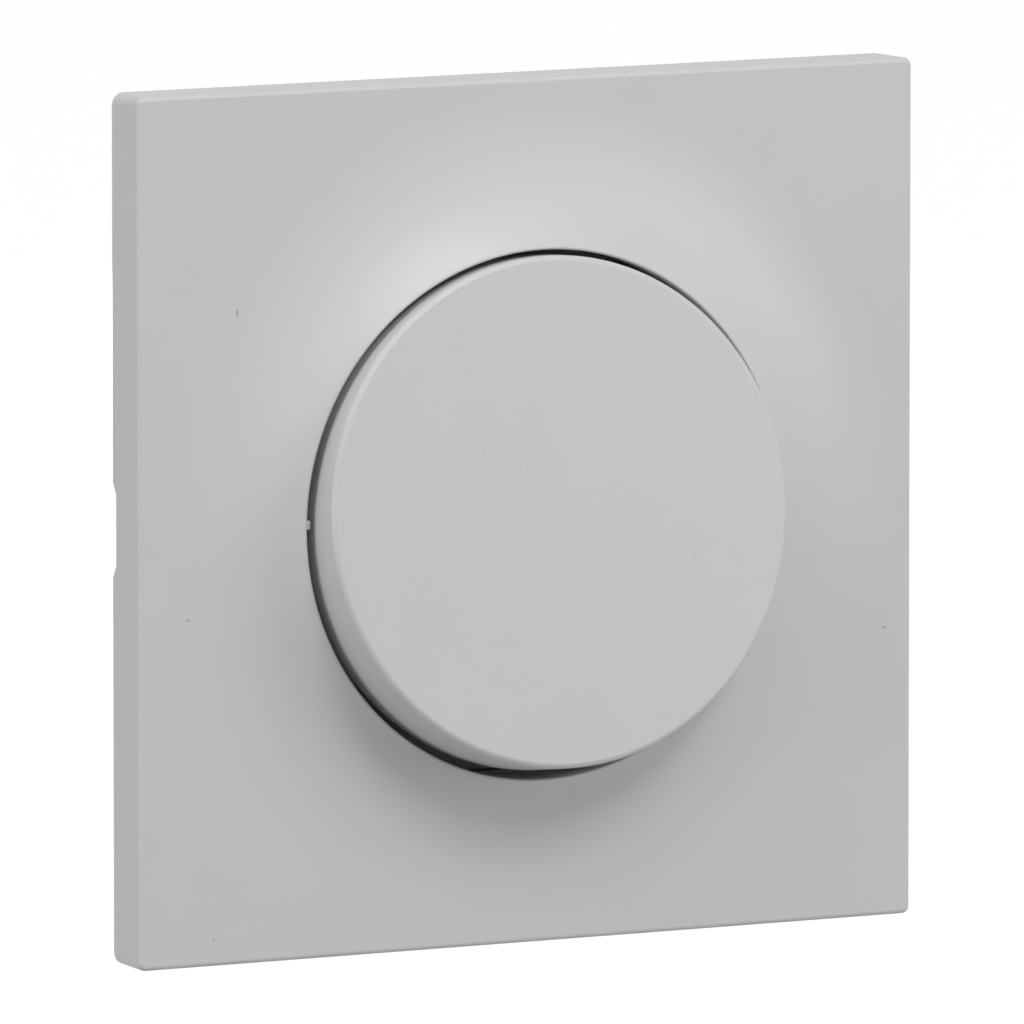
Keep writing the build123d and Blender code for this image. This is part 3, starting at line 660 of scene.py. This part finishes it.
def rocker_inside(bm):
    """Pads and clips that hold the cradle, and the stiffeners under the face, with the rocker
    level."""
    root = FACE_HEIGHT - ROCKER_FACE / 2
    pad_end = HINGE_HEIGHT + CRADLE_THICKNESS
    pad = [
        (CRADLE_HALF_WIDTH - PAD_WIDTH, root),
        (CRADLE_HALF_WIDTH, root),
        (CRADLE_HALF_WIDTH, pad_end),
        (CRADLE_HALF_WIDTH - PAD_WIDTH, pad_end),
    ]
    clip_inner = CRADLE_HALF_WIDTH + CLIP_CLEARANCE
    clip = [
        (clip_inner, root),
        (clip_inner + CLIP_THICKNESS, root),
        (clip_inner + CLIP_THICKNESS, HINGE_HEIGHT - CLIP_DROP),
        (clip_inner, HINGE_HEIGHT - CLIP_DROP),
        (clip_inner - CLIP_BITE, HINGE_HEIGHT - CLIP_DROP / 2),
        (clip_inner - CLIP_BITE, HINGE_HEIGHT - CLIP_CLEARANCE / 2),
        (clip_inner, HINGE_HEIGHT - CLIP_CLEARANCE / 2),
    ]
    for side in (-1, 1):
        slab(bm, pad, (0, 0, 0), (0, 0, side), PAD_LENGTH)
        for place in (-CLIP_PLACE, CLIP_PLACE):
            slab(bm, clip, (place, 0, 0), (0, 0, side), CLIP_WIDTH)
    stiffener_back = FACE_HEIGHT - ROCKER_FACE - STIFFENER_HEIGHT
    stiffener_end = FACE_RADIUS - ROCKER_WALL / 2
    stiffener = [
        (CRADLE_HALF_WIDTH, root),
        (CRADLE_HALF_WIDTH, stiffener_back),
        (stiffener_end, stiffener_back),
        (stiffener_end, root),
    ]
    for turn in range(45, 360, 90):
        across = (math.cos(math.radians(turn)), 0, math.sin(math.radians(turn)))
        slab(bm, stiffener, (0, 0, 0), across, STIFFENER_THICKNESS)


def softened(node, name, material, body, width, cuts=()):
    """A merged copy of a node's mesh with rounded edges, in place of the node, cut across where
    it has to bend. It rides the body, if one is given."""
    bm = bmesh.new()
    bm.from_mesh(frame["nodes"][node].data)
    bmesh.ops.remove_doubles(bm, verts=bm.verts, dist=COPY_MERGE)
    bmesh.ops.dissolve_limit(
        bm, angle_limit=FLAT_ANGLE, verts=bm.verts, edges=bm.edges, delimit={"NORMAL"}
    )
    for place in cuts:
        every = bm.verts[:] + bm.edges[:] + bm.faces[:]
        bmesh.ops.bisect_plane(bm, geom=every, plane_co=place, plane_no=place)
    bmesh.ops.connect_verts_concave(bm, faces=bm.faces)
    piece = smooth_object(name, bm, material)
    rounded = piece.modifiers.new("moulded_edges", "BEVEL")
    rounded.width = width
    rounded.segments = ROUND_SEGMENTS
    rounded.limit_method = "ANGLE"
    rounded.angle_limit = ROUND_ANGLE
    rounded.harden_normals = True
    if body:
        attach(piece, body)
    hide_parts(node)
    return piece


def soft_lamp(name, place, size, watts):
    """Square area lamp that looks at the origin."""
    lamp = bpy.data.lights.new(name, "AREA")
    lamp.shape = "SQUARE"
    lamp.size = size
    lamp.energy = watts
    holder = bpy.data.objects.new(name, lamp)
    holder.location = place
    holder.rotation_euler = (-Vector(place)).to_track_quat("-Z", "Y").to_euler()
    bpy.context.scene.collection.objects.link(holder)


def seen_factor(tree):
    """Socket that is 1 for what the camera sees, also in gloss and through glass."""
    path = tree.nodes.new("ShaderNodeLightPath")
    total = path.outputs["Is Camera Ray"]
    for ray in ("Is Glossy Ray", "Is Transmission Ray"):
        added = tree.nodes.new("ShaderNodeMath")
        added.operation = "MAXIMUM"
        tree.links.new(total, added.inputs[0])
        tree.links.new(path.outputs[ray], added.inputs[1])
        total = added.outputs[0]
    return total


def white_world():
    """World that looks white and lights the object at a low even level."""
    world = bpy.data.worlds.new("studio")
    world.use_nodes = True
    tree = world.node_tree
    seen = tree.nodes.new("ShaderNodeBackground")
    seen.inputs["Color"].default_value = (1, 1, 1, 1)
    light = tree.nodes["Background"]
    light.inputs["Color"].default_value = (1, 1, 1, 1)
    light.inputs["Strength"].default_value = WORLD_LEVEL
    mix = tree.nodes.new("ShaderNodeMixShader")
    tree.links.new(seen_factor(tree), mix.inputs[0])
    tree.links.new(light.outputs[0], mix.inputs[1])
    tree.links.new(seen.outputs[0], mix.inputs[2])
    tree.links.new(mix.outputs[0], tree.nodes["World Output"].inputs["Surface"])
    bpy.context.scene.world = world


def pale_floor():
    """Floor under the switch: pale to the light, nearly white to the camera, with its shadow."""
    bm = bmesh.new()
    bmesh.ops.create_grid(bm, x_segments=1, y_segments=1, size=FLOOR_HALF)
    bmesh.ops.translate(bm, verts=bm.verts, vec=(0, 0, FLOOR_LEVEL))
    mesh = bpy.data.meshes.new("floor")
    bm.to_mesh(mesh)
    bm.free()
    material = bpy.data.materials.new("floor_pale")
    material.use_nodes = True
    tree = material.node_tree
    paint = tree.nodes["Principled BSDF"]
    paint.inputs["Base Color"].default_value = (*FLOOR_COLOR, 1)
    paint.inputs["Roughness"].default_value = 1.0
    glow = tree.nodes.new("ShaderNodeEmission")
    glow.inputs["Strength"].default_value = FLOOR_GLOW
    share = tree.nodes.new("ShaderNodeMath")
    share.operation = "MULTIPLY"
    share.inputs[1].default_value = FLOOR_GLOW_SHARE
    mix = tree.nodes.new("ShaderNodeMixShader")
    tree.links.new(seen_factor(tree), share.inputs[0])
    tree.links.new(share.outputs[0], mix.inputs[0])
    tree.links.new(paint.outputs[0], mix.inputs[1])
    tree.links.new(glow.outputs[0], mix.inputs[2])
    tree.links.new(mix.outputs[0], tree.nodes["Material Output"].inputs["Surface"])
    mesh.materials.append(material)
    floor = bpy.data.objects.new("floor", mesh)
    bpy.context.scene.collection.objects.link(floor)


def studio():
    """Pale floor and backdrop colour, soft lamps and the camera."""
    scene = bpy.context.scene
    scene.view_settings.view_transform = "Standard"
    back = Vector(
        (
            math.sin(CAMERA_TURN) * math.cos(CAMERA_RISE),
            -math.cos(CAMERA_TURN) * math.cos(CAMERA_RISE),
            math.sin(CAMERA_RISE),
        )
    )
    right = Vector((0, 0, 1)).cross(back).normalized()
    above = back.cross(right)
    aim = Vector((0, -SIDE_HEIGHT, 0)) + right * CAMERA_SIDESTEP + above * CAMERA_DROP
    camera = bpy.data.objects.new("camera", bpy.data.cameras.new("camera"))
    camera.data.lens = CAMERA_LENS
    camera.data.sensor_width = SENSOR_WIDTH
    camera.data.clip_end = CAMERA_REACH
    camera.location = aim + back * CAMERA_DISTANCE
    camera.rotation_euler = back.to_track_quat("Z", "Y").to_euler()
    scene.collection.objects.link(camera)
    scene.camera = camera
    for lamp in LAMPS:
        soft_lamp(*lamp)
    white_world()
    pale_floor()


def in_metres(marks):
    """Marks with their places and reaches in metres."""
    return [
        (tuple(MM * part for part in place), tuple(MM * part for part in reach), strength)
        for place, reach, strength in marks
    ]


def dress(material, *nodes):
    """Gives carried-over CAD nodes their finish."""
    for node in nodes:
        for holder in frame["nodes"][node].material_slots:
            holder.material = material


plate_finish = moulded_white("plate_white", (0.54, 0.548, 0.53), in_metres(PLATE_MARKS))
rocker_finish = moulded_white("rocker_white", (0.532, 0.532, 0.519), in_metres(ROCKER_MARKS))
frame_grey = moulded_matt("frame_grey", (0.24, 0.245, 0.25), FRAME_GRAIN)
housing_grey = moulded_matt("housing_grey", (0.56, 0.56, 0.54), HOUSING_GRAIN)
cradle_white = moulded_matt("cradle_white", (0.66, 0.66, 0.63), FINE_GRAIN)
plunger_ivory = moulded_matt("plunger_ivory", (0.72, 0.69, 0.6), PLUNGER_GRAIN)
release_orange = moulded_matt("release_orange", (0.72, 0.16, 0.02), FINE_GRAIN)
strip_brass = rolled_metal("strip_brass", (0.75, 0.55, 0.26), 0.3, (8, 1, 1))
tip_silver = rolled_metal("tip_silver", (0.82, 0.81, 0.78), 0.24, (1, 1, 1))
sprung_steel = rolled_metal("sprung_steel", (0.55, 0.55, 0.56), 0.28, (1, 6, 1))

finished_piece(
    "plate_shell", cover_plate(), plate_finish, "mechanism", "white_plate", "cover_plate"
)
finished_piece(
    "rocker_shell", rocker_button(), rocker_finish, "rocker", "white_rocker", "rocker_button"
)
for node, name, material, slot, width in (
    ("support_frame", "frame_shell", frame_grey, "frame_plastic", FRAME_ROUND),
    ("switch_housing", "housing_shell", housing_grey, "housing_plastic", HOUSING_ROUND),
    ("housing_cover", "cover_shell", housing_grey, "housing_plastic", SMALL_ROUND),
):
    softened(node, name, material, "mechanism", width)
for key in ("upper", "lower", "common"):
    softened(
        f"{key}_release_button",
        f"{key}_release_key",
        release_orange,
        f"{key}_release",
        SMALL_ROUND,
    )
leaf_step = (LEAF_BEND - LEAF_PRESSED) / LEAF_CUTS
for key, outwards in (("upper", (0, 0, 1)), ("lower", (0, 0, -1)), ("common", (1, 0, 0))):
    outwards = Vector(outwards)
    leaf = softened(
        f"{key}_clamp_spring",
        f"{key}_clamp_leaf",
        sprung_steel,
        None,
        LEAF_ROUND,
        cuts=[outwards * (LEAF_PRESSED + leaf_step * cut) for cut in range(LEAF_CUTS + 1)],
    )
    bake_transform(leaf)
coil = finished_piece(
    "plunger_coil", plunger_coil(), sprung_steel, "rocker", "spring_steel", "plunger_spring"
)
coil_axis = Matrix.Rotation(-REST_TILT, 3, "X") @ Vector((0, -1, 0))
tube_end = Vector((0, -HINGE_HEIGHT, 0)) + coil_axis * (TUBE_END - HINGE_HEIGHT)
plunger_travel = next(j for j in frame["joints"] if j["name"] == "plunger_slide")["range_m"][1]
1 - plunger_travel / SPRING_ROOM
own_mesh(coil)
dress(cradle_white, "rocker_cradle")
dress(plunger_ivory, "plunger")
dress(strip_brass, "upper_terminal", "lower_terminal", "common_terminal", "rocking_contact")
dress(tip_silver, "upper_contact_tip", "lower_contact_tip", "moving_contact_tips")
studio()
